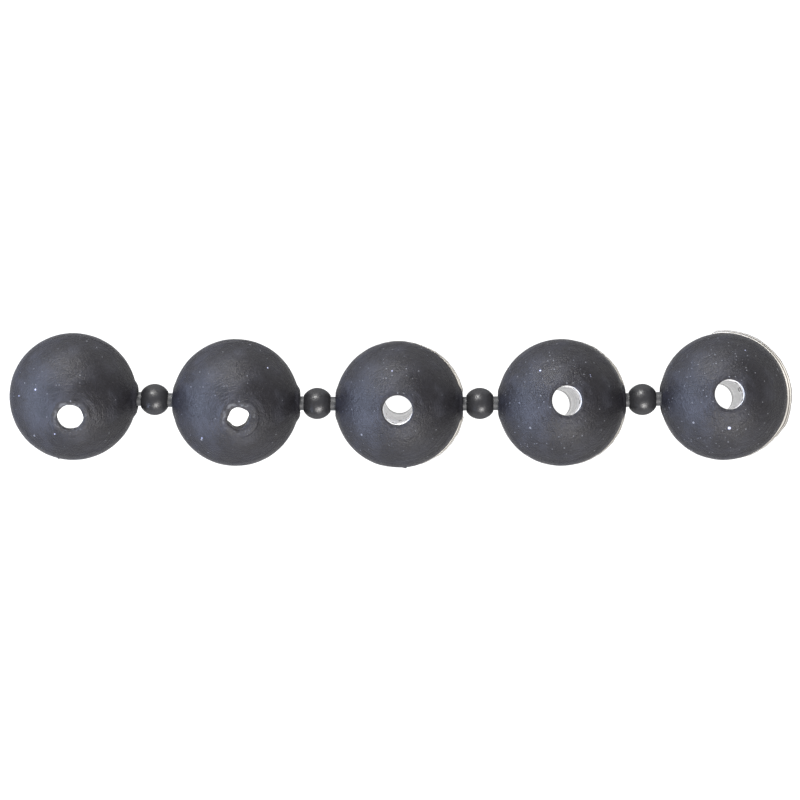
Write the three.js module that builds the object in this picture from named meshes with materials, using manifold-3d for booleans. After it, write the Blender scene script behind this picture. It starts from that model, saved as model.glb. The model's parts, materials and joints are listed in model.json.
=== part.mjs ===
// A strip of five bored balls joined by four small link balls, lying on a flat surface.
// Each big ball is two dark half shells over a pale core: a sleeve that lines the bore, and a
// thin web between the shells. On some balls the web comes out between the shells' edges.
// Each small ball holds the flanged ends of two short pins, whose round heads sit in sockets
// in the big balls on either side.
// The row runs along X, the bores run roughly along Z, and the surface is Z = 0.

import * as THREE from "three";
import { mergeVertices } from "three/addons/utils/BufferGeometryUtils.js";
import Module from "manifold-3d";

const wasm = await Module();
wasm.setup();

// Driving dimensions, in millimetres and degrees.
const BALL_RADIUS = 4.0;
const BORE_RADIUS = 0.925;
const LAND_RADIUS = 1.1; // flat ring round each end of the bore
const SLEEVE_WALL = 0.275;
const WEB_THICKNESS = 0.3;
const WEB_BEVEL = 0.04;
const WEB_SHIFT = 0.55; // the share of a web's reach that comes from sitting off centre
const HIDDEN_WEB_RADIUS = 3.5; // of a web that the shells close over
const PITCH = 10.24; // from one big ball to the next, along the row
const ARC_RISE = 0.5; // how far the row's two ends stand off the line through its middle
const LINK_RADIUS = 0.98;
const LINK_HOLE_RADIUS = 0.5;
const LINK_CAVITY_RADIUS = 0.65;
const LINK_CAVITY_HALF = 0.5; // half the length of the space inside a small ball
const NECK_RADIUS = 0.44;
const HEAD_RADIUS = 0.62; // the pin's round head
const FLANGE_RADIUS = 0.59; // the pin's flanged end
const FLANGE_THICKNESS = 0.27;
const PIVOT = 3.15; // from a big ball's centre to the middle of its socket
const MOUTH_ANGLE = 17; // half angle of the socket's mouth, for a pin that bends by 15
const GAP = 0.05; // between two pieces
const SOCKET_GAP = 0.07; // between a round head and its socket

// How each big ball lies: roll turns it about X, lean about Y. The lip is the shell's thickness
// in front of the sleeve's end. A web that shows stands out by its reach, towards its side.
const BALLS = [
  { roll: 19.8, lean: 3.7, lip: 0.35 },
  { roll: 14.8, lean: 5.9, lip: 0.9 },
  { roll: 5.5, lean: -0.9, lip: 0.35, web: { reach: 0.15, side: -5 } },
  { roll: -1.8, lean: 2.6, lip: 0.35, web: { reach: 0.15, side: -10 } },
  { roll: -2.0, lean: -0.2, lip: 0.35, web: { reach: 0.27, side: 15 } },
];

const AROUND_BALL = 24;
const AROUND_BORE = 16;
const AROUND_PIN = 12;
const ARC_STEPS = 6; // straight pieces in each round profile
const MERGE_WITHIN = 1e-5; // vertices closer than this are one

const SLEEVE_RADIUS = BORE_RADIUS + SLEEVE_WALL;
const LAND_HEIGHT = Math.sqrt(BALL_RADIUS ** 2 - LAND_RADIUS ** 2);
const ROW_HALF = (PITCH * (BALLS.length - 1)) / 2;
const ARC_RADIUS = (ROW_HALF ** 2 + ARC_RISE ** 2) / (2 * ARC_RISE);
const PIN_REACH = PITCH / 2 - PIVOT; // from a pin's head to the middle of the small ball

const rad = THREE.MathUtils.degToRad;

const MATERIALS = {
  shell: { color: 0x3a3a42, roughness: 0.62, metalness: 0 },
  core: { color: 0xdedbd2, roughness: 0.5, metalness: 0 },
  link: { color: 0x303036, roughness: 0.5, metalness: 0 },
  pin: { color: 0x66686e, roughness: 0.5, metalness: 0 },
};

// Points on an arc round the origin, from one angle to another, measured from the +Y axis.
function arc(radius, from, to) {
  const points = [];
  for (let i = 0; i <= ARC_STEPS; i += 1) {
    const angle = from + ((to - from) * i) / ARC_STEPS;
    points.push([radius * Math.sin(angle), radius * Math.cos(angle)]);
  }
  return points;
}

// A solid of revolution about +Z, from [radius, height] points in the order top to bottom.
function turned(points, segments) {
  const profile = points.map(([radius, height]) => new THREE.Vector2(radius, height));
  profile.reverse();
  return new THREE.LatheGeometry(profile, segments).rotateX(Math.PI / 2);
}

// The same, about +X.
function turnedAlongX(points, segments) {
  return turned(points, segments).rotateY(Math.PI / 2);
}

function toSolid(geometry) {
  const bare = geometry.clone();
  bare.deleteAttribute("normal");
  bare.deleteAttribute("uv");
  const merged = mergeVertices(bare, MERGE_WITHIN);
  const vertProperties = merged.attributes.position.array;
  const triVerts = new Uint32Array(merged.index.array);
  return new wasm.Manifold(new wasm.Mesh({ numProp: 3, vertProperties, triVerts }));
}

function toGeometry(solid) {
  const mesh = solid.getMesh();
  const geometry = new THREE.BufferGeometry();
  geometry.setAttribute("position", new THREE.BufferAttribute(mesh.vertProperties, 3));
  geometry.setIndex(new THREE.BufferAttribute(mesh.triVerts, 1));
  geometry.computeVertexNormals();
  return geometry;
}

function cut(geometry, tools) {
  const solid = tools.reduce((left, tool) => left.subtract(toSolid(tool)), toSolid(geometry));
  return toGeometry(solid);
}

function named(name, geometry, material) {
  const mesh = new THREE.Mesh(geometry, new THREE.MeshStandardMaterial(MATERIALS[material]));
  mesh.name = name;
  return mesh;
}

// The shell in front of the web: a half sphere with the bore, the flat ring round it,
// a lip over the sleeve's end, the space for the sleeve, and half of the space for the web.
function halfShell(lip, webShows) {
  const webSpace = WEB_THICKNESS / 2 + GAP;
  const parting = webShows ? webSpace : GAP / 2;
  const landAngle = Math.asin(LAND_RADIUS / BALL_RADIUS);
  const partingAngle = Math.acos(parting / BALL_RADIUS);
  const sleeveSpace = SLEEVE_RADIUS + GAP;
  const sleeveEnd = LAND_HEIGHT - lip + GAP;
  const webSpaceRadius = HIDDEN_WEB_RADIUS + GAP;
  const step = webShows
    ? []
    : [
        [webSpaceRadius, parting],
        [webSpaceRadius, webSpace],
      ];
  return turned(
    [
      [BORE_RADIUS, LAND_HEIGHT],
      ...arc(BALL_RADIUS, landAngle, partingAngle),
      ...step,
      [sleeveSpace, webSpace],
      [sleeveSpace, sleeveEnd],
      [BORE_RADIUS, sleeveEnd],
      [BORE_RADIUS, LAND_HEIGHT],
    ],
    AROUND_BALL,
  );
}

// The core: a sleeve round the bore and a thin round web. A web that shows is a little larger
// than the shells and sits off centre.
function core(lip, web) {
  const sleeveEnd = LAND_HEIGHT - lip;
  const shift = web ? web.reach * WEB_SHIFT : 0;
  const webRadius = web ? BALL_RADIUS + web.reach - shift : HIDDEN_WEB_RADIUS;
  const half = WEB_THICKNESS / 2;
  const sleeve = turned(
    [
      [0, sleeveEnd],
      [SLEEVE_RADIUS, sleeveEnd],
      [SLEEVE_RADIUS, -sleeveEnd],
      [0, -sleeveEnd],
    ],
    AROUND_BORE,
  );
  const disc = turned(
    [
      [0, half],
      [webRadius - WEB_BEVEL, half],
      [webRadius, half - WEB_BEVEL],
      [webRadius, WEB_BEVEL - half],
      [webRadius - WEB_BEVEL, -half],
      [0, -half],
    ],
    AROUND_BALL,
  );
  if (web) disc.translate(shift * Math.cos(rad(web.side)), shift * Math.sin(rad(web.side)), 0);
  const bore = new THREE.CylinderGeometry(BORE_RADIUS, BORE_RADIUS, BALL_RADIUS * 2, AROUND_BORE);
  bore.rotateX(Math.PI / 2);
  return toGeometry(toSolid(sleeve).add(toSolid(disc)).subtract(toSolid(bore)));
}

// A pin along +X, with the middle of its round head at the origin.
function pin() {
  const shoulder = Math.asin(NECK_RADIUS / HEAD_RADIUS);
  const flangeFrom = PIN_REACH - LINK_CAVITY_HALF + GAP;
  const flangeTo = flangeFrom + FLANGE_THICKNESS;
  return turnedAlongX(
    [
      [0, flangeTo],
      [FLANGE_RADIUS, flangeTo],
      [FLANGE_RADIUS, flangeFrom],
      [NECK_RADIUS, flangeFrom],
      ...arc(HEAD_RADIUS, shoulder, Math.PI),
    ],
    AROUND_PIN,
  );
}

// The space a pin's head turns in, with the mouth that its neck bends in.
function socket() {
  const inside = HEAD_RADIUS + SOCKET_GAP;
  const slope = Math.tan(rad(MOUTH_ANGLE));
  const mouthAt = (distance) => NECK_RADIUS / Math.cos(rad(MOUTH_ANGLE)) + distance * slope;
  const outside = BALL_RADIUS - PIVOT + LINK_RADIUS;
  const mouth = turnedAlongX(
    [
      [0, outside],
      [mouthAt(outside), outside],
      [mouthAt(0), 0],
      [0, 0],
    ],
    AROUND_PIN,
  );
  const cavity = turnedAlongX(arc(inside, 0, Math.PI), AROUND_PIN);
  return toGeometry(toSolid(cavity).add(toSolid(mouth)));
}

// A small ball along X, with a hole at each end and a wider space between them.
function linkBall() {
  const holeAngle = Math.asin(LINK_HOLE_RADIUS / LINK_RADIUS);
  const holeEnd = LINK_RADIUS * Math.cos(holeAngle);
  return turnedAlongX(
    [
      ...arc(LINK_RADIUS, holeAngle, Math.PI - holeAngle),
      [LINK_HOLE_RADIUS, -LINK_CAVITY_HALF],
      [LINK_CAVITY_RADIUS, -LINK_CAVITY_HALF],
      [LINK_CAVITY_RADIUS, LINK_CAVITY_HALF],
      [LINK_HOLE_RADIUS, LINK_CAVITY_HALF],
      [LINK_HOLE_RADIUS, holeEnd],
    ],
    AROUND_PIN,
  );
}

// A group on the row, at a distance from its middle, facing along the row.
function onRow(distance) {
  const heading = distance / ARC_RADIUS;
  const group = new THREE.Group();
  group.position.set(
    ARC_RADIUS * Math.sin(heading),
    ARC_RADIUS * (1 - Math.cos(heading)),
    BALL_RADIUS,
  );
  group.rotation.z = heading;
  return group;
}

const strip = new THREE.Group();

// The four links, each a small ball between a left and a right pin.
const links = [];
for (let n = 0; n < BALLS.length - 1; n += 1) {
  const link = onRow((n + 0.5) * PITCH - ROW_HALF);
  const left = named(`link_${n + 1}_left_pin`, pin(), "pin");
  left.position.x = -PIN_REACH;
  const right = named(`link_${n + 1}_right_pin`, pin(), "pin");
  right.position.x = PIN_REACH;
  right.rotation.z = Math.PI;
  link.add(left, named(`link_${n + 1}_small_ball`, linkBall(), "link"), right);
  strip.add(link);
  links.push({ left, right });
}

// The five big balls, with sockets cut for the heads of the pins that reach them.
BALLS.forEach(({ roll, lean, lip, web }, n) => {
  const ball = onRow(n * PITCH - ROW_HALF);
  const turnedBall = new THREE.Group();
  turnedBall.rotation.set(rad(roll), rad(lean), 0);
  ball.add(turnedBall);
  strip.add(ball);
  strip.updateMatrixWorld(true);
  const pins = [];
  if (n > 0) pins.push(links[n - 1].right);
  if (n < BALLS.length - 1) pins.push(links[n].left);
  const toBall = turnedBall.matrixWorld.clone().invert();
  const sockets = pins.map((mesh) =>
    socket().applyMatrix4(toBall.clone().multiply(mesh.matrixWorld)),
  );
  const name = `ball_${n + 1}`;
  const shell = halfShell(lip, Boolean(web));
  const front = cut(shell, sockets);
  const rear = cut(shell.clone().rotateX(Math.PI), sockets);
  turnedBall.add(
    named(`${name}_front_shell`, front, "shell"),
    named(`${name}_rear_shell`, rear, "shell"),
    named(`${name}_core`, cut(core(lip, web), sockets), "core"),
  );
});

// The origin is the middle of the strip's footprint, on the surface it lies on.
const box = new THREE.Box3().setFromObject(strip, true);
const middle = box.getCenter(new THREE.Vector3());
strip.position.set(-middle.x, -middle.y, -box.min.z);

export default strip;
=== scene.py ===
"""Looks of a strip of five bored balls joined by four small balls on short grey pins.

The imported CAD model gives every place: the balls' middles come from the joints of the links,
and each piece rides on its own CAD body. Meshes are made in millimetres, in the frame of their
own ball or link, then put in place and scaled to metres.
"""

import json
import math

import bpy
import numpy as np
from mathutils import Matrix, Vector, noise

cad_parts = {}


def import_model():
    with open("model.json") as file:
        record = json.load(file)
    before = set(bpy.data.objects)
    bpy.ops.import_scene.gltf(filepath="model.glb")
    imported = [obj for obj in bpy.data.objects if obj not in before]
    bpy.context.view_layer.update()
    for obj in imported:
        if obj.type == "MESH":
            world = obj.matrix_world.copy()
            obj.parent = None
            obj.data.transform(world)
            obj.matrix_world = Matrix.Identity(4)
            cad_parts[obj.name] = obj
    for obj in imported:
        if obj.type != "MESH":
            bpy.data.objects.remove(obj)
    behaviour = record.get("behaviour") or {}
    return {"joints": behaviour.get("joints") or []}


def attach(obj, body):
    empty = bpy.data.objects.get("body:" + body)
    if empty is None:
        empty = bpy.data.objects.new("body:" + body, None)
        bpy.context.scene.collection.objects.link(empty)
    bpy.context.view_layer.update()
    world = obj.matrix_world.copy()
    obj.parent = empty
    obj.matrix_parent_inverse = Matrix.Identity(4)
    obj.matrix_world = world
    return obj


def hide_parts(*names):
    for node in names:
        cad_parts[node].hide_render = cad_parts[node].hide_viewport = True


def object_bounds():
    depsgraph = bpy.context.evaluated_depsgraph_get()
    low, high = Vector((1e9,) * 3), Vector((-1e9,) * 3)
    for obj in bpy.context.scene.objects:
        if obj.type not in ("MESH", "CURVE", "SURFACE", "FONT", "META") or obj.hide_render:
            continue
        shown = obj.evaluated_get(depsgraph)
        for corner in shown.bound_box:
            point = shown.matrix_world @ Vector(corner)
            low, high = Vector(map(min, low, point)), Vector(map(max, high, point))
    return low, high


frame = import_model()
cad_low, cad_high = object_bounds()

MM = 0.001

# Driving dimensions of the design, in millimetres and degrees.
BALL_RADIUS = 4.0
BORE_RADIUS = 0.925
LAND_RADIUS = 1.1
SLEEVE_RADIUS = 1.2
WEB_THICKNESS = 0.3
HIDDEN_WEB_RADIUS = 3.5
WEB_ROOT = 3.7
LINK_RADIUS = 0.98
LINK_HOLE_RADIUS = 0.47
LINK_CAVITY_RADIUS = 0.65
LINK_CAVITY_HALF = 0.5
NECK_RADIUS = 0.44
HEAD_RADIUS = 0.62
FLANGE_RADIUS = 0.59
FLANGE_THICKNESS = 0.27
PIVOT = 3.15
MOUTH_ANGLE = 17
GAP = 0.05
SOCKET_GAP = 0.07
LAND_HEIGHT = math.sqrt(BALL_RADIUS**2 - LAND_RADIUS**2)

# How each big ball is rolled and leaned, in degrees, how deep the sleeve's ends sit in its bore,
# and what shows at its rim. A band entry is (bearing round the bore from the row's direction, how
# far the web stands out of the shells there).
THIN_EDGE = -0.03
BALLS = [
    {"roll": 19.8, "lean": 3.7, "lip": 0.35},
    {"roll": 14.8, "lean": 5.9, "lip": 0.9},
    {"roll": 5.5, "lean": -0.9, "lip": 0.35,
     "band": [(-80, THIN_EDGE), (-45, 0.13), (-15, 0.16), (15, 0.14), (45, 0.10), (75, THIN_EDGE)]},
    {"roll": -1.8, "lean": 2.6, "lip": 0.35,
     "band": [(-85, THIN_EDGE), (-40, 0.10), (0, 0.13), (35, 0.12), (60, 0.05), (85, THIN_EDGE)]},
    {"roll": -2.0, "lean": -0.2, "lip": 0.35,
     "band": [(-88, THIN_EDGE), (-55, 0.09), (-42, 0.12), (-27, 0.28), (10, 0.28), (45, 0.23),
              (75, 0.18), (96, 0.15), (98, THIN_EDGE)]},
]

# A low collar rings the mouth of each socket, higher on a ball's +X side.
COLLARS = {"+X": 0.12, "-X": 0.04}
COLLAR_REACH = (0.80, 1.25)

# Small marks on a ball's skin: (direction, how far it spreads in degrees, its height).
MARKS = {
    1: [((-0.23, -0.97, 0), 1.6, 0.06)],
    3: [((0.1, -0.995, 0), 1.7, 0.10), ((-0.1, -1, 0), 16, -0.05)],
    5: [((0.98, 0.2, 0), 30, -0.03)],
}

# Single bright bluish spots on a ball's skin: bright grains, and the largest, on ball 5, a painted
# glint: (direction, radius in millimetres).
GRAINS_AND_GLINTS = {
    1: [((-0.47, 0.10, 0.82), 0.07), ((-0.74, 0.01, 0.6), 0.05), ((-0.20, -0.57, 0.77), 0.05)],
    2: [((0.54, 0.55, 0.67), 0.06), ((-0.48, -0.54, 0.66), 0.05)],
    3: [((-0.10, 0.52, 0.85), 0.05)],
    4: [((-0.37, 0.50, 0.80), 0.07), ((0.40, 0.42, 0.79), 0.03), ((0.41, 0.39, 0.80), 0.03)],
    5: [((-0.005, -0.487, 0.867), 0.12), ((0.26, 0.70, 0.63), 0.05)],
}

# The mouths of the front bores of the first two balls are torn: (how far a ragged lip narrows
# the bore, height of the rim raised round it).
TORN = {1: (0.12, 0.05), 2: (0.24, 0.06)}

# How densely dust lies on each ball's skin.
DUSTED = {1: 0.35, 2: 0.35, 3: 0.5, 4: 0.7, 5: 1.0}

# The camera: its lens and sensor, the share of the picture's width that the strip fills, and how
# far the point it looks at is from the middle of the strip, in metres.
LENS = 135
SENSOR = 36
FILLED = 0.9764
AIM_OFFSET = (-0.00004, -0.00005)

# How many points go round each turned piece.
AROUND_BALL = 224
AROUND_BORE = 128
AROUND_LINK = 128
AROUND_PIN = 96
AROUND_SOCKET = 72


# ---------------------------------------------------------------- places from the frame

joints = {j["name"]: j for j in frame["joints"]}


def link_frame(n):
    """The middle and the direction of link n, in millimetres, from its swivel joint."""
    swivel = joints[f"link_{n}_left_swivel"]
    return Vector(swivel["pos_m"]) / MM, Vector(swivel["axis"]).normalized()


def pivot(n, side):
    """Where link n's left or right pin turns, in millimetres."""
    return Vector(joints[f"link_{n}_{side}_bend"]["pos_m"]) / MM


def placed(origin, heading):
    """A matrix that puts a mesh at origin, turned about Z by heading."""
    return Matrix.Translation(origin) @ Matrix.Rotation(heading, 4, "Z")


def link_heading(n):
    """The angle about Z of link n's direction."""
    along = link_frame(n)[1]
    return math.atan2(along.y, along.x)


def ball_matrix(n):
    """Puts a mesh whose bore runs along Z at big ball n."""
    middles = []
    if n > 1:
        middles.append(pivot(n - 1, "right") + PIVOT * link_frame(n - 1)[1])
    if n < len(BALLS):
        middles.append(pivot(n, "left") - PIVOT * link_frame(n)[1])
    middle = sum(middles, Vector()) / len(middles)
    links = len(BALLS) - 1
    step = (link_heading(links) - link_heading(1)) / (links - 1)
    heading = (n - (len(BALLS) + 1) / 2) * step
    ball = BALLS[n - 1]
    tilt = Matrix.Rotation(math.radians(ball["roll"]), 4, "X")
    lean = Matrix.Rotation(math.radians(ball["lean"]), 4, "Y")
    return placed(middle, heading) @ tilt @ lean


def pin_matrix(n, side):
    """Puts a mesh along +X, with its round head at the origin, at a pin of link n."""
    turn = 0 if side == "left" else math.pi
    return placed(pivot(n, side), link_heading(n) + turn)


# ---------------------------------------------------------------- profiles and meshes


def arc(radius, start, end, steps, centre=0.0):
    """Points (radius, height) on an arc round a point of the axis, by angle from the pole."""
    angles = np.linspace(start, end, steps + 1)
    return [(radius * math.sin(a), centre + radius * math.cos(a)) for a in angles]


def rounded(before, corner, after, radius, steps=4):
    """The points of a corner that is rounded off."""
    b, c, a = (Vector(p) for p in (before, corner, after))
    to_before, to_after = (b - c).normalized(), (a - c).normalized()
    half = to_before.angle(to_after) / 2
    reach = radius / math.tan(half)
    reach = min(reach, 0.49 * (b - c).length, 0.49 * (a - c).length)
    start, end = c + to_before * reach, c + to_after * reach
    points = []
    for i in range(steps + 1):
        t = i / steps
        points.append(tuple((1 - t) ** 2 * start + 2 * t * (1 - t) * c + t**2 * end))
    return points


def outline(corners):
    """A profile from (radius, height, rounding) corners, the last joined to the first."""
    points = []
    count = len(corners)
    for i, (r, h, rounding) in enumerate(corners):
        before, after = corners[i - 1], corners[(i + 1) % count]
        if rounding:
            points += rounded(before[:2], (r, h), after[:2], rounding)
        else:
            points.append((r, h))
    return points


def spaced(points, longest, closed):
    """The same profile, with no stretch longer than the given length."""
    result = []
    count = len(points)
    for i in range(count if closed else count - 1):
        a, b = np.array(points[i]), np.array(points[(i + 1) % count])
        pieces = max(1, math.ceil(np.linalg.norm(b - a) / longest))
        result += [tuple(a + (b - a) * k / pieces) for k in range(pieces)]
    if not closed:
        result.append(points[-1])
    return result


def turned(points, around):
    """Vertices and faces of a profile turned about Z. It closes on itself or ends on the axis."""
    on_axis = points[0][0] < 1e-9
    ring = points[1:-1] if on_axis else points
    angles = np.arange(around) * (2 * math.pi / around)
    profile = np.array(ring)
    x = np.outer(profile[:, 0], np.cos(angles))
    y = np.outer(profile[:, 0], np.sin(angles))
    z = np.repeat(profile[:, 1:2], around, axis=1)
    vertices = np.stack([x, y, z], axis=-1).reshape(-1, 3)
    rows = len(ring)
    faces = []
    for i in range(rows if not on_axis else rows - 1):
        low, high = i * around, ((i + 1) % rows) * around
        for k in range(around):
            nxt = (k + 1) % around
            faces.append((low + k, high + k, high + nxt, low + nxt))
    if on_axis:
        vertices = np.vstack([vertices, [0, 0, points[0][1]], [0, 0, points[-1][1]]])
        first, last, end = rows * around, rows * around + 1, (rows - 1) * around
        for k in range(around):
            nxt = (k + 1) % around
            faces.append((first, k, nxt))
            faces.append((last, end + nxt, end + k))
    return vertices, faces


def along_x(vertices):
    """Lays vertices that were turned about Z along X."""
    return vertices[:, [2, 1, 0]] * np.array([1, -1, 1])


def roughened(vertices, amount, scale, seed, skin):
    """Pushes each vertex outside the skin radius in or out by smooth noise."""
    offset = Vector((seed * 17.3, seed * 5.1, seed * 9.7))
    moved = vertices.copy()
    for i, v in enumerate(vertices):
        size = math.sqrt(v[0] ** 2 + v[1] ** 2 + v[2] ** 2)
        if size < skin:
            continue
        push = noise.noise(Vector(v) * scale + offset) * amount
        moved[i] = v * (1 + push / size)
    return moved


def smooth(value, low, high):
    """0 below low, 1 above high, and a smooth rise between them."""
    t = min(max((value - low) / (high - low), 0), 1)
    return t * t * (3 - 2 * t)


def marked(vertices, n):
    """Raises the collar and the small marks on the skin of big ball n."""
    to_local = ball_matrix(n).to_3x3().inverted()
    marks = [(to_local @ Vector(d).normalized(), r, h) for d, r, h in MARKS.get(n, [])]
    collars = []
    if n < len(BALLS):
        collars.append((to_local @ link_frame(n)[1], COLLARS["+X"]))
    if n > 1:
        collars.append((to_local @ -link_frame(n - 1)[1], COLLARS["-X"]))
    moved = vertices.copy()
    for i, v in enumerate(vertices):
        point = Vector(v)
        size = point.length
        if size < BALL_RADIUS - 0.08:
            continue
        push = 0
        for along, height in collars:
            if point.dot(along) > 0:
                aside = (point - along * point.dot(along)).length
                push += height * (1 - smooth(aside, *COLLAR_REACH))
        for direction, spread, height in marks:
            apart = math.degrees(point.angle(direction))
            push += height * (1 - smooth(apart, 0, spread))
        moved[i] = v * (1 + push / size)
    return moved


def torn(vertices, n):
    """Narrows the front mouth of big ball n's bore with a ragged lip, and raises its rim."""
    narrower, rim = TORN[n]
    sleeve_end = LAND_HEIGHT - BALLS[n - 1]["lip"]
    moved = vertices.copy()
    for i, (x, y, z) in enumerate(vertices):
        radius = math.hypot(x, y)
        if radius > 1.6 or z < sleeve_end - 0.1:
            continue
        bearing = Vector((x, y, 0)) / radius
        wave = noise.noise(bearing * 1.4 + Vector((n * 3.7, 0, 0)))
        fine = noise.noise(bearing * 2.6 + Vector((0, n * 5.3, 0.4 * z)))
        inward = narrower * (1 + 0.3 * wave + 0.1 * fine) * (1 - smooth(radius, 0.94, 1.15))
        raised = rim * (0.5 + 1.2 * wave) * math.exp(-(((radius - 1.16) / 0.12) ** 2))
        moved[i] = (x * (1 - inward / radius), y * (1 - inward / radius), z + raised)
    return moved


def mesh_object(name, vertices, faces):
    """A smooth object in millimetres, with its faces pointing out."""
    mesh = bpy.data.meshes.new(name)
    mesh.from_pydata([tuple(v) for v in vertices], [], faces)
    mesh.update()
    obj = bpy.data.objects.new(name, mesh)
    bpy.context.scene.collection.objects.link(obj)
    if signed_volume(mesh) < 0:
        mesh.flip_normals()
    return obj


def signed_volume(mesh):
    """The volume inside the mesh, below zero if its faces point in."""
    mesh.calc_loop_triangles()
    co = np.array([v.co for v in mesh.vertices])
    tri = np.array([t.vertices for t in mesh.loop_triangles])
    a, b, c = co[tri[:, 0]], co[tri[:, 1]], co[tri[:, 2]]
    return float(np.einsum("ij,ij->i", a, np.cross(b, c)).sum()) / 6


def evaluated(obj):
    """Applies the object's modifiers to its mesh."""
    bpy.context.view_layer.update()
    graph = bpy.context.evaluated_depsgraph_get()
    mesh = bpy.data.meshes.new_from_object(obj.evaluated_get(graph))
    obj.modifiers.clear()
    obj.data = mesh


def combined(obj, tools, operation):
    """Cuts the tools out of the object, or joins them to it."""
    for tool in tools:
        step = obj.modifiers.new(operation, "BOOLEAN")
        step.operation = operation
        step.solver = "EXACT"
        step.object = tool
    evaluated(obj)


def discard(objects):
    for obj in objects:
        bpy.data.objects.remove(obj)


def finished(obj, matrix, body, node, material, sharp=34):
    """Puts a mesh made in its own frame in place, in metres, and gives it its body and finish."""
    mesh = obj.data
    local = np.array([v.co for v in mesh.vertices], np.float32)
    own = mesh.attributes.new("own_place", "FLOAT_VECTOR", "POINT")
    own.data.foreach_set("vector", local.ravel())
    mesh.transform(Matrix.Scale(MM, 4) @ matrix)
    mesh.shade_smooth()
    mesh.set_sharp_from_angle(angle=math.radians(sharp))
    mesh.materials.clear()
    mesh.materials.append(material)
    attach(obj, body)
    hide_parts(node)
    return obj


# ---------------------------------------------------------------- materials


class Shader:
    """A material's node tree, with short calls for the nodes used below."""

    def __init__(self, name):
        self.material = bpy.data.materials.new(name)
        self.material.use_nodes = True
        self.nodes = self.material.node_tree.nodes
        self.links = self.material.node_tree.links
        self.surface = self.nodes["Principled BSDF"]

    def node(self, kind, **settings):
        made = self.nodes.new(kind)
        for key, value in settings.items():
            setattr(made, key, value)
        return made

    def feed(self, socket, value):
        if isinstance(value, bpy.types.NodeSocket):
            self.links.new(value, socket)
        else:
            socket.default_value = value

    def math(self, operation, *values):
        made = self.node("ShaderNodeMath", operation=operation)
        for socket, value in zip(made.inputs, values):
            self.feed(socket, value)
        return made.outputs[0]

    def place(self):
        """The point in the piece's own frame, in millimetres."""
        return self.node("ShaderNodeAttribute", attribute_name="own_place").outputs["Vector"]

    def split(self, vector):
        made = self.node("ShaderNodeSeparateXYZ")
        self.links.new(vector, made.inputs[0])
        return made.outputs

    def joined(self, x, y, z):
        made = self.node("ShaderNodeCombineXYZ")
        for socket, value in zip(made.inputs, (x, y, z)):
            self.feed(socket, value)
        return made.outputs[0]

    def noise(self, vector, scale, detail=2.0, roughness=0.5):
        made = self.node("ShaderNodeTexNoise")
        self.links.new(vector, made.inputs["Vector"])
        made.inputs["Scale"].default_value = scale
        made.inputs["Detail"].default_value = detail
        made.inputs["Roughness"].default_value = roughness
        return made.outputs["Fac"]

    def cells(self, vector, scale):
        """Distance to a random point of each cell, and a random colour of the cell."""
        made = self.node("ShaderNodeTexVoronoi")
        self.links.new(vector, made.inputs["Vector"])
        made.inputs["Scale"].default_value = scale
        return made.outputs["Distance"], made.outputs["Color"]

    def ramp(self, value, low, high, to_low=0.0, to_high=1.0):
        made = self.node("ShaderNodeMapRange", interpolation_type="SMOOTHSTEP")
        for socket, number in zip(made.inputs, (value, low, high, to_low, to_high)):
            self.feed(socket, number)
        return made.outputs[0]

    def mix(self, share, a, b):
        made = self.node("ShaderNodeMix", data_type="RGBA")
        self.feed(made.inputs["Factor"], share)
        self.feed(made.inputs["A"], (*a, 1) if isinstance(a, tuple) else a)
        self.feed(made.inputs["B"], (*b, 1) if isinstance(b, tuple) else b)
        return made.outputs["Result"]

    def bump(self, height, strength, distance, below=None):
        made = self.node("ShaderNodeBump")
        made.inputs["Strength"].default_value = strength
        made.inputs["Distance"].default_value = distance
        self.links.new(height, made.inputs["Height"])
        if below is not None:
            self.links.new(below, made.inputs["Normal"])
        return made.outputs[0]

    def set(self, **sockets):
        for name, value in sockets.items():
            socket = self.surface.inputs[name.replace("_", " ")]
            self.feed(socket, (*value, 1) if isinstance(value, tuple) else value)


def dust(shader, place, cells_per_mm, share, size):
    """Small round specks: 1 on a speck, 0 elsewhere."""
    distance, colour = shader.cells(place, cells_per_mm)
    chance = shader.split(colour)
    chosen = shader.math("LESS_THAN", chance[0], share)
    radius = shader.math("MULTIPLY", chance[1], size * cells_per_mm)
    inside = shader.math("LESS_THAN", distance, radius)
    return shader.math("MULTIPLY", chosen, inside)


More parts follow.
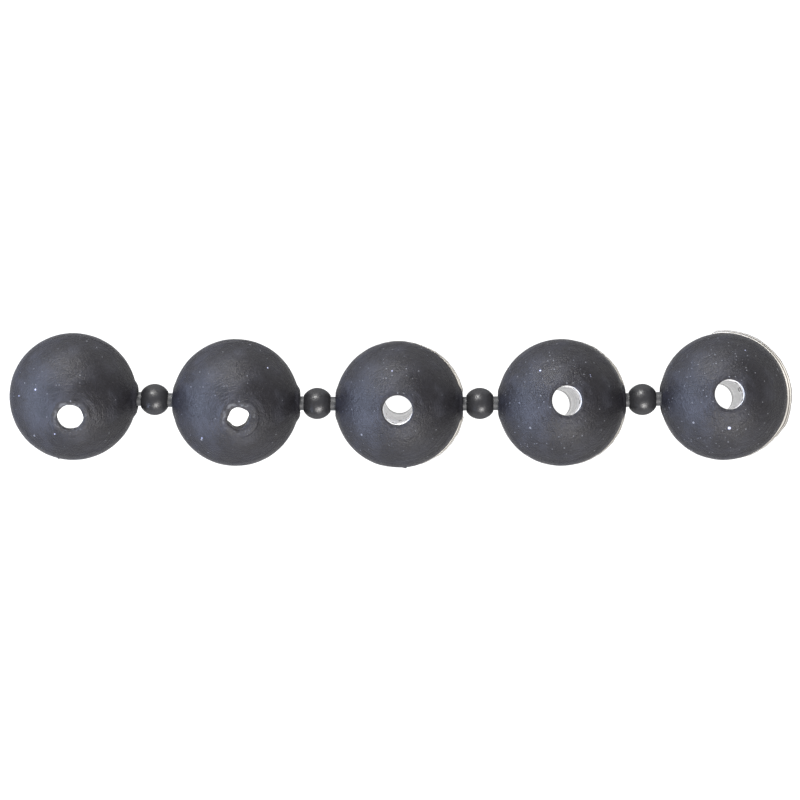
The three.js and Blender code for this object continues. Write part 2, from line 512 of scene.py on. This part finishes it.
def rubber(name, dark, light, roughness, gloss, grainy, swirl, dusted, specks=(), painted_rim_highlight=False):
    """Dark matte rubber: cloudy bloom, grain and pits, dust, and swirls round the bore.

    Grainy, swirl and dusted say how strong those three are. Specks are single bright bluish spots
    painted into the colour, each a point in the piece's own frame and a radius: bright grains, and
    one, on ball 5, a painted glint. When frayed is set, pale broken lines run round the bore's
    front mouth: a painted highlight on its torn, raised rim.
    """
    s = Shader(name)
    place = s.place()
    x, y, z = s.split(place)
    from_axis = s.math("SQRT", s.math("ADD", s.math("MULTIPLY", x, x), s.math("MULTIPLY", y, y)))
    bearing = s.math("ARCTAN2", y, x)
    rings = s.joined(s.math("MULTIPLY", from_axis, 8.0), bearing, s.math("MULTIPLY", z, 3.0))
    patches = s.ramp(s.noise(place, 0.8, 2.0, 0.5), 0.4, 0.62)
    swirls = s.noise(rings, 1.0, 3.0, 0.6)
    swirls = s.math("MULTIPLY", swirls, s.math("MULTIPLY_ADD", patches, 0.8, 0.2))
    cloud = s.noise(place, 0.9, 4.0, 0.6)
    grain = s.noise(place, 7.0, 3.0, 0.75)
    pits = s.ramp(s.noise(place, 7.0, 2.0, 0.6), 0.60, 0.72)
    bloom = s.ramp(s.math("ADD", cloud, s.math("MULTIPLY", swirls, 0.35 * swirl)), 0.45, 0.95)
    dusty = s.math(
        "MAXIMUM",
        dust(s, place, 1.3, 0.28 * dusted, 0.08),
        dust(s, place, 5.5, 0.30 * dusted, 0.045),
    )
    colour = s.mix(bloom, dark, light)
    colour = s.mix(s.ramp(grain, 0.5, 0.72, 0.0, 0.5), colour, tuple(1.9 * c for c in light))
    colour = s.mix(s.math("MULTIPLY", pits, 0.6), colour, tuple(0.4 * c for c in dark))
    colour = s.mix(s.math("MULTIPLY", dusty, 0.35), colour, (0.3, 0.31, 0.34))
    # Pale broken lines round the torn front mouth: a painted highlight on its raised rim.
    if painted_rim_highlight:
        wavy = s.math("MULTIPLY_ADD", s.noise(place, 2.4, 2.0, 0.5), 0.35, from_axis)
        edge = s.math("MULTIPLY", s.ramp(wavy, 0.98, 1.08), s.ramp(wavy, 1.12, 1.26, 1.0, 0.0))
        broken = s.ramp(s.noise(place, 1.1, 4.0, 0.7), 0.48, 0.60, 0.0, 0.6)
        edge = s.math("MULTIPLY", s.math("MULTIPLY", edge, broken), s.ramp(z, 2.9, 3.1))
        colour = s.mix(edge, colour, (0.10, 0.103, 0.11))
    # Bright bluish spots painted into the colour: grains, and one painted glint.
    for centre, radius in specks:
        apart = s.node("ShaderNodeVectorMath", operation="DISTANCE")
        s.links.new(place, apart.inputs[0])
        apart.inputs[1].default_value = centre
        speck = s.ramp(apart.outputs["Value"], 0.5 * radius, radius, 0.8, 0.0)
        colour = s.mix(speck, colour, (0.42, 0.44, 0.62))
    shine = s.ramp(cloud, 0.3, 0.7, roughness - 0.04, roughness + 0.06)
    shine = s.math("ADD", shine, s.math("MULTIPLY", s.math("SUBTRACT", grain, 0.5), 0.25 * grainy))
    normal = s.bump(grain, grainy, 0.00005)
    normal = s.bump(swirls, 0.75 * swirl + 0.05, 0.00006, normal)
    normal = s.bump(dusty, 0.5, 0.00003, normal)
    s.set(Base_Color=colour, Roughness=shine, Normal=normal, IOR=1.5)
    facing = s.node("ShaderNodeLayerWeight")
    facing.inputs["Blend"].default_value = 0.5
    level = s.ramp(facing.outputs["Facing"], 0.25, 0.7, gloss, 0.03)
    s.feed(s.surface.inputs["Specular IOR Level"], level)
    return s.material


def pale_core(name, grey, white, painted_glow, flecked, shift):
    """Pale plastic: rings and dark flecks down the bore, painted shade towards both ends of the
    bore, and a creased, stained outer edge, dark along both its rims, with painted shade in its
    middle groove.

    Glow is painted light given off in the bore, standing in for the light that reaches its walls.
    Shift moves the pattern, so that no two balls share it.
    """
    s = Shader(name)
    place = s.place()
    x, y, z = s.split(place)
    from_axis = s.math("SQRT", s.math("ADD", s.math("MULTIPLY", x, x), s.math("MULTIPLY", y, y)))
    in_bore = s.ramp(from_axis, 1.1, 1.3, 1.0, 0.0)
    moved = s.joined(x, s.math("ADD", y, shift), z)
    cloud = s.noise(moved, 1.6, 3.0, 0.6)
    along = s.math("ADD", z, s.math("MULTIPLY", cloud, 0.8))
    rings = s.noise(s.joined(0.0, shift, along), 2.0, 2.0, 0.6)
    colour = s.mix(s.ramp(rings, 0.40, 0.58), grey, white)
    # Darker towards both ends of the bore: painted shade deep in its rear end, and painted shade
    # near its front mouth that tones down the light falling there.
    rear = s.ramp(z, -3.3, -2.4, 0.95, 0.0)
    mouth = s.ramp(z, 2.2, 3.3, 0.0, 0.45)
    colour = s.mix(s.math("MAXIMUM", rear, mouth), colour, tuple(0.5 * g for g in grey))
    near_front = s.math("MULTIPLY", s.ramp(z, 0.2, 0.9), s.ramp(z, 3.2, 3.3, 1.0, 0.0))
    stretched = s.joined(x, s.math("ADD", y, shift), s.math("MULTIPLY", z, 0.5))
    flecks = dust(s, stretched, 2.5, flecked, 0.2)
    flecks = s.math("MULTIPLY", flecks, s.math("MULTIPLY", near_front, in_bore))
    colour = s.mix(flecks, colour, (0.02, 0.02, 0.025))
    across = s.node("ShaderNodeAttribute", attribute_name="band_share").outputs["Fac"]
    # Dark lines painted across the standing web: painted shade in its middle groove and in the notch
    # at its tip, and a dark line where it meets the shells.
    crease = s.math("ABSOLUTE", s.math("SUBTRACT", across, 0.5))
    crease = s.ramp(crease, 0.08, 0.17, 1.0, 0.0)
    rim = s.math("MAXIMUM", s.ramp(across, 0.76, 0.92), s.ramp(across, 0.0, 0.12, 1.0, 0.0))
    lines = s.math("MAXIMUM", crease, rim)
    edge = s.mix(cloud, (0.40, 0.385, 0.35), (0.54, 0.525, 0.49))
    edge = s.mix(lines, edge, (0.10, 0.09, 0.08))
    colour = s.mix(in_bore, edge, colour)
    roughness = s.ramp(rings, 0.3, 0.7, 0.38, 0.55)
    normal = s.bump(rings, 0.35, 0.00004)
    normal = s.bump(cloud, 0.3, 0.00005, normal)
    s.set(Base_Color=colour, Roughness=roughness, Normal=normal, IOR=1.49)
    # Painted light: the bore's walls give off light of their own, standing in for the light that
    # reaches them.
    s.set(Emission_Color=(1.0, 1.0, 1.0), Emission_Strength=s.math("MULTIPLY", in_bore, painted_glow))
    return s.material


def grey_pin():
    """Mid-grey satin plastic with faint lines along the pin."""
    s = Shader("grey_pin")
    place = s.place()
    x, y, z = s.split(place)
    bearing = s.math("ARCTAN2", z, y)
    lines = s.noise(s.joined(s.math("MULTIPLY", x, 0.6), s.math("MULTIPLY", bearing, 6.0), 0.0), 1.0)
    grain = s.noise(place, 14.0, 2.0, 0.6)
    colour = s.mix(lines, (0.013, 0.0135, 0.015), (0.029, 0.030, 0.033))
    colour = s.mix(s.math("MULTIPLY", grain, 0.3), colour, (0.05, 0.052, 0.055))
    roughness = s.ramp(grain, 0.3, 0.7, 0.5, 0.65)
    normal = s.bump(lines, 0.3, 0.00002)
    normal = s.bump(grain, 0.3, 0.00001, normal)
    s.set(Base_Color=colour, Roughness=roughness, Normal=normal, IOR=1.49)
    return s.material


SHELLS, CORES = {}, {}
for number in range(1, len(BALLS) + 1):
    to_own = ball_matrix(number).to_3x3().inverted()
    grains = [
        (to_own @ Vector(towards).normalized() * BALL_RADIUS, radius)
        for towards, radius in GRAINS_AND_GLINTS.get(number, [])
    ]
    SHELLS[number] = rubber(
        f"shell_rubber_{number}", dark=(0.0095, 0.0090, 0.0105), light=(0.018, 0.0180, 0.0222),
        roughness=0.38, gloss=0.21, grainy=1.0, swirl=1.0, dusted=DUSTED[number],
        specks=grains, painted_rim_highlight=number in TORN,
    )
SMALL = rubber(
    "small_ball_rubber", dark=(0.0135, 0.0135, 0.0150), light=(0.0195, 0.020, 0.0225),
    roughness=0.35, gloss=0.30, grainy=0.3, swirl=0.1, dusted=0.1,
)
for number, ball in enumerate(BALLS, 1):
    name, shift = f"core_plastic_{number}", 2.0 * number
    # One plastic in every core, painted lit and shaded: the first two balls' bores, turned more
    # towards the light, are near white and give off more painted light; the last three are greyer
    # and give off less.
    if "band" in ball:
        grey, white, painted_glow, flecked = (0.69, 0.69, 0.70), (0.98, 0.975, 0.97), 0.07, 0.5
    else:
        grey, white, painted_glow, flecked = (0.95, 0.95, 0.94), (0.98, 0.98, 0.98), 0.30, 0.0
    CORES[number] = pale_core(name, grey, white, painted_glow, flecked, shift)
PIN = grey_pin()


# ---------------------------------------------------------------- pieces


def socket_tool(n, side, raised):
    """The space a pin's head turns in, in millimetres, where link n's pin is."""
    slope = math.tan(math.radians(MOUTH_ANGLE))
    inside = HEAD_RADIUS + SOCKET_GAP
    start = NECK_RADIUS / math.cos(math.radians(MOUTH_ANGLE))
    # the cone meets the round space where both have the same distance from the axis
    a, b, c = 1 + slope**2, 2 * start * slope, start**2 - inside**2
    meet = (-b + math.sqrt(b * b - 4 * a * c)) / (2 * a)
    # how far the skin and its collar are from the middle of the pin's head, near the mouth
    surface = math.sqrt(BALL_RADIUS**2 - (start + 0.8 * slope) ** 2) - PIVOT + raised
    mouth = start + surface * slope
    flare = 0.05
    end = surface + 1.0
    profile = [
        (0, end),
        (mouth + flare + 0.6, end),
        (mouth + flare + 0.05, surface + 0.03),
        (mouth + 0.45 * flare, surface - 0.01),
        (mouth, surface - flare),
        *arc(inside, math.acos(meet / inside), math.pi, 24),
    ]
    tool = mesh_object("socket", *turned(spaced(profile, 0.4, False), AROUND_SOCKET))
    tool.data.transform(pin_matrix(n, side) @ Matrix.Rotation(math.pi / 2, 4, "Y"))
    return tool


def sockets_of(n):
    """The socket spaces of big ball n, in the ball's own frame."""
    tools = []
    if n > 1:
        tools.append(socket_tool(n - 1, "right", COLLARS["-X"]))
    if n < len(BALLS):
        tools.append(socket_tool(n, "left", COLLARS["+X"]))
    to_ball = ball_matrix(n).inverted()
    for tool in tools:
        tool.data.transform(to_ball)
    return tools


def shell_profile(lip, web_shows):
    """Half of a ball's rubber: lip, round outside, parting face, and the space for the core."""
    web_space = WEB_THICKNESS / 2 + GAP
    parting = web_space if web_shows else GAP / 2
    sleeve_space = SLEEVE_RADIUS + GAP
    sleeve_end = LAND_HEIGHT - lip + GAP
    land = math.asin(LAND_RADIUS / BALL_RADIUS)
    rim = math.acos(parting / BALL_RADIUS)
    outside = arc(BALL_RADIUS, land, rim, 96)
    lip_foot = (BORE_RADIUS, sleeve_end)
    points = rounded(lip_foot, (BORE_RADIUS, LAND_HEIGHT), outside[0], 0.09, 6)
    points += outside[1:-2]
    inner = (HIDDEN_WEB_RADIUS + GAP, parting) if not web_shows else (sleeve_space, parting)
    points += rounded(outside[-3], outside[-1], inner, 0.05, 4)
    if not web_shows:
        points += [inner, (inner[0], web_space)]
    points += [(sleeve_space, web_space), (sleeve_space, sleeve_end), lip_foot]
    return spaced(points, 0.25, True)


def shell(n, side):
    """The front or rear half of big ball n."""
    ball = BALLS[n - 1]
    vertices, faces = turned(shell_profile(ball["lip"], "band" in ball), AROUND_BALL)
    if side == "rear":
        vertices = vertices * np.array([1, -1, -1])
    seed = n * 2 + (side == "rear")
    vertices = roughened(vertices, 0.012, 1.1, seed, BALL_RADIUS - 0.02)
    vertices = marked(vertices, n)
    if side == "front" and n in TORN:
        vertices = torn(vertices, n)
    obj = mesh_object(f"ball_{n}_{side}_rubber", vertices, faces)
    tools = sockets_of(n)
    combined(obj, tools, "DIFFERENCE")
    discard(tools)
    return finished(
        obj, ball_matrix(n), f"big_ball_{n}", f"ball_{n}_{side}_shell", SHELLS[n]
    )


def band_reach(ball, x, y, z):
    """How far the web stands out of the shells at a place round it, with a ragged edge."""
    angles = [a for a, _ in ball["band"]]
    reaches = [r for _, r in ball["band"]]
    reach = float(np.interp(math.degrees(math.atan2(y, x)), angles, reaches))
    flat = Vector((x, y, 0)).normalized() * BALL_RADIUS
    ragged = 0.035 * noise.noise(flat * 2.2 + Vector((ball["roll"], 0, 3 * z)))
    return reach + ragged


def web_profile(ball):
    """A thin round web, with close points across the part that can stand out of the shells."""
    half = WEB_THICKNESS / 2
    inner = (BORE_RADIUS + SLEEVE_RADIUS) / 2
    if "band" not in ball:
        outer = HIDDEN_WEB_RADIUS
        return outline([
            (inner, -half, 0), (outer, -half, 0.05), (outer, half, 0.05), (inner, half, 0),
        ])
    radii = np.linspace(WEB_ROOT, BALL_RADIUS, 11)
    shares = (radii - WEB_ROOT) / (BALL_RADIUS - WEB_ROOT)
    heights = half - 0.05 * shares**6 - 0.03 * np.exp(-(((shares - 0.8) / 0.05) ** 2))
    lower = [(r, -h) for r, h in zip(radii, heights)]
    upper = [(r, h) for r, h in zip(radii, heights)]
    waist = [(BALL_RADIUS + 0.01, -0.05), (BALL_RADIUS - 0.02, 0), (BALL_RADIUS + 0.01, 0.05)]
    return [(inner, -half), *lower, *waist, *reversed(upper), (inner, half)]


def core_parts(n):
    """The sleeve and the web of big ball n, as two meshes that are joined afterwards."""
    ball = BALLS[n - 1]
    end = LAND_HEIGHT - ball["lip"]
    sleeve = outline([
        (BORE_RADIUS, -end, 0.03), (SLEEVE_RADIUS, -end, 0.03),
        (SLEEVE_RADIUS, end, 0.03), (BORE_RADIUS, end, 0.03),
    ])
    sleeve = turned(spaced(sleeve, 0.12, True), AROUND_BORE)
    vertices, faces = turned(spaced(web_profile(ball), 0.3, True), 2 * AROUND_BALL)
    if "band" in ball:
        for i, (x, y, z) in enumerate(vertices):
            radius = math.hypot(x, y)
            if radius <= WEB_ROOT:
                continue
            share = (radius - WEB_ROOT) / (BALL_RADIUS - WEB_ROOT)
            grown = radius + band_reach(ball, x, y, z) * share
            vertices[i] = (x * grown / radius, y * grown / radius, z)
    return sleeve, (vertices, faces)


def paint_band(mesh, ball):
    """Writes on each vertex how far across the standing part of the web it is, from 0 to 1."""
    shares = []
    for vertex in mesh.vertices:
        x, y, z = vertex.co
        reach = max(band_reach(ball, x, y, z), 0.02)
        shares.append((math.hypot(x, y) - BALL_RADIUS) / reach)
    paint = mesh.attributes.new("band_share", "FLOAT", "POINT")
    paint.data.foreach_set("value", shares)


def core(n):
    """The pale core of big ball n."""
    sleeve, web = core_parts(n)
    obj = mesh_object(f"ball_{n}_pale_core", *sleeve)
    disc = mesh_object("web", *web)
    combined(obj, [disc], "UNION")
    tools = sockets_of(n)
    combined(obj, tools, "DIFFERENCE")
    discard([disc, *tools])
    if "band" in BALLS[n - 1]:
        paint_band(obj.data, BALLS[n - 1])
    return finished(obj, ball_matrix(n), f"big_ball_{n}", f"ball_{n}_core", CORES[n])


def small_ball(n):
    """The small ball of link n, hollow round the pins' flanges, with a faint mould line."""
    hole = math.asin(LINK_HOLE_RADIUS / LINK_RADIUS)
    outside = arc(LINK_RADIUS, hole, math.pi - hole, 72)
    half = LINK_CAVITY_HALF
    top, bottom = outside[0], outside[-1]
    points = rounded((LINK_HOLE_RADIUS, half), top, outside[3], 0.03, 5)
    points += outside[3:-3]
    points += rounded(outside[-4], bottom, (LINK_HOLE_RADIUS, -half), 0.03, 5)
    points += [
        (LINK_HOLE_RADIUS, -half), (LINK_CAVITY_RADIUS, -half),
        (LINK_CAVITY_RADIUS, half), (LINK_HOLE_RADIUS, half),
    ]
    vertices, faces = turned(spaced(points, 0.15, True), AROUND_LINK)
    vertices = along_x(vertices)
    for i, (x, y, z) in enumerate(vertices):
        size = math.sqrt(x * x + y * y + z * z)
        if size < LINK_RADIUS - 0.02:
            continue
        ridge = 0.010 * math.exp(-((z / 0.03) ** 2))
        lump = 0.008 * noise.noise(Vector((x, y, z)) * 2.0 + Vector((n * 3.1, 0, 0)))
        vertices[i] *= 1 + (ridge + lump) / size
    obj = mesh_object(f"link_{n}_small_ball_rubber", vertices, faces)
    middle, _ = link_frame(n)
    matrix = placed(middle, link_heading(n))
    return finished(
        obj, matrix, f"small_ball_{n}", f"link_{n}_small_ball", SMALL
    )


def pin(n, side):
    """A pin of link n: round head, neck and flanged end."""
    middle, _ = link_frame(n)
    reach = (middle - pivot(n, side)).length
    flange_from = reach - LINK_CAVITY_HALF + GAP
    flange_to = flange_from + FLANGE_THICKNESS
    shoulder = math.asin(NECK_RADIUS / HEAD_RADIUS)
    head = arc(HEAD_RADIUS, shoulder, math.pi, 40)
    root = (NECK_RADIUS, flange_from)
    points = [(0, flange_to)]
    points += rounded((0, flange_to), (FLANGE_RADIUS, flange_to), (FLANGE_RADIUS, flange_from), 0.04)
    points += rounded((FLANGE_RADIUS, flange_to), (FLANGE_RADIUS, flange_from), root, 0.03)
    points += rounded((FLANGE_RADIUS, flange_from), root, head[0], 0.02)
    points += rounded(root, head[0], head[2], 0.06)
    points += head[2:]
    vertices, faces = turned(spaced(points, 0.08, False), AROUND_PIN)
    obj = mesh_object(f"link_{n}_{side}_grey_pin", along_x(vertices), faces)
    return finished(
        obj, pin_matrix(n, side), f"{side}_pin_{n}", f"link_{n}_{side}_pin", PIN
    )


for n in range(1, len(BALLS) + 1):
    shell(n, "front")
    shell(n, "rear")
    core(n)
for n in range(1, len(BALLS)):
    small_ball(n)
    pin(n, "left")
    pin(n, "right")


# ---------------------------------------------------------------- floor, light and camera


def floor():
    """A plain white table that gives off its own light."""
    half = 1.5
    corners = [(-half, -half, 0), (half, -half, 0), (half, half, 0), (-half, half, 0)]
    mesh = bpy.data.meshes.new("floor")
    mesh.from_pydata(corners, [], [(0, 1, 2, 3)])
    obj = bpy.data.objects.new("floor", mesh)
    bpy.context.scene.collection.objects.link(obj)
    s = Shader("white_table")
    s.set(Base_Color=(0.06, 0.06, 0.06), Roughness=0.8)
    s.surface.inputs["Emission Color"].default_value = (1, 1, 1, 1)
    s.surface.inputs["Emission Strength"].default_value = 1.1
    mesh.materials.append(s.material)


def softbox(name, direction, distance, size, power, colour):
    """A rectangular light that faces the middle of the strip from a direction."""
    light = bpy.data.lights.new(name, "AREA")
    light.shape = "RECTANGLE"
    light.size, light.size_y = size
    light.energy = power
    light.color = colour
    obj = bpy.data.objects.new(name, light)
    bpy.context.scene.collection.objects.link(obj)
    away = Vector(direction).normalized()
    obj.location = away * distance
    obj.rotation_euler = away.to_track_quat("Z", "Y").to_euler()


def world(strength):
    """An even, very pale light from all round."""
    made = bpy.data.worlds.new("studio")
    made.use_nodes = True
    background = made.node_tree.nodes["Background"]
    background.inputs["Color"].default_value = (0.96, 0.95, 1.0, 1)
    background.inputs["Strength"].default_value = strength
    bpy.context.scene.world = made


def camera():
    """Looks straight down at the strip from a long way off."""
    data = bpy.data.cameras.new("camera")
    data.sensor_width = SENSOR
    data.lens = LENS
    obj = bpy.data.objects.new("camera", data)
    bpy.context.scene.collection.objects.link(obj)
    view_width = (cad_high.x - cad_low.x) / FILLED
    distance = view_width * LENS / SENSOR
    middle = (cad_low + cad_high) / 2
    obj.location = (middle.x + AIM_OFFSET[0], middle.y + AIM_OFFSET[1], middle.z + distance)
    data.clip_start = 0.01
    data.clip_end = 10
    bpy.context.scene.camera = obj


floor()
softbox("upper", (-0.22, 0.77, 0.60), 0.30, (0.09, 0.06), 1.6, (1.0, 0.99, 0.97))
softbox("lower", (0.20, -0.72, 0.68), 0.30, (0.12, 0.09), 1.7, (1.0, 0.98, 0.96))
softbox("left", (-0.90, -0.05, 0.41), 0.30, (0.52, 0.13), 3.7, (0.62, 0.73, 1.0))
world(0.6)
camera()
bpy.context.scene.view_settings.view_transform = "Standard"
